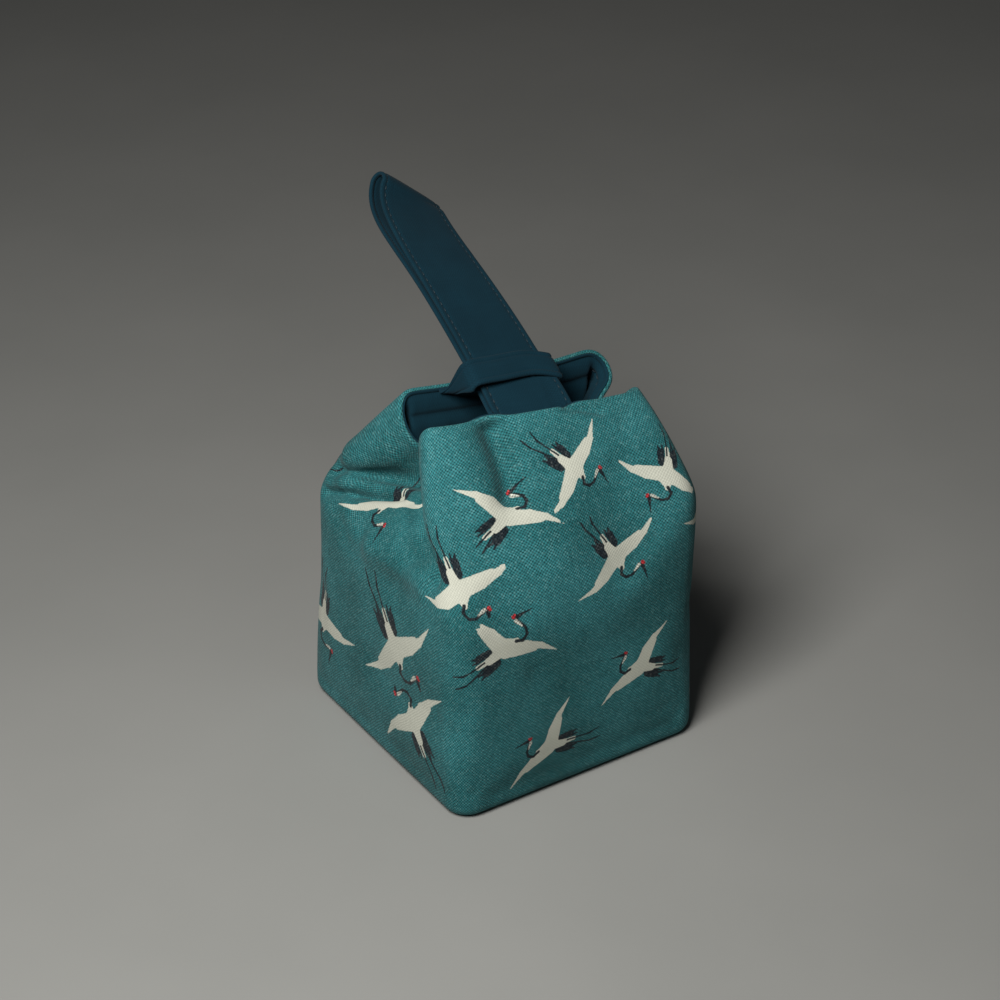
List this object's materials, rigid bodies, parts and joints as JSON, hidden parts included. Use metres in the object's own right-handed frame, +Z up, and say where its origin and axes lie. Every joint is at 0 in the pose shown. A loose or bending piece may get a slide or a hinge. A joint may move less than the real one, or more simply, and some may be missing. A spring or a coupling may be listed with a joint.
{
  "type": "kinchaku pouch",
  "caption": "Small padded cloth pouch: square base, walls folded in to a long narrow mouth, and a flat wrist strap that passes under a keeper on the back rim.",
  "frame": {"origin": "centre of the base's underside, on the surface the pouch stands on", "axes": "+Z up, away from the base; the front panel, which the strap is sewn inside, faces -Y; +X to the right of someone who faces the front"},
  "size_m": [0.1, 0.1319, 0.1765],
  "materials": {
    "teal_canvas": "matte plain-weave canvas, mid teal, printed with small white flying cranes",
    "white_fleece": "soft white interlining, hidden between canvas and lining",
    "petrol_lining": "matte plain cotton, dark petrol blue",
    "petrol_strap": "matte plain cotton, dark petrol blue, topstitched along both edges"
  },
  "bodies": {
    "root": {"outer_wall": "teal_canvas", "outer_base": "teal_canvas", "wall_padding": "white_fleece", "base_padding": "white_fleece", "lining_wall": "petrol_lining", "lining_base": "petrol_lining", "wrist_strap": "petrol_strap", "strap_keeper": "petrol_strap"}
  },
  "joints": []
}
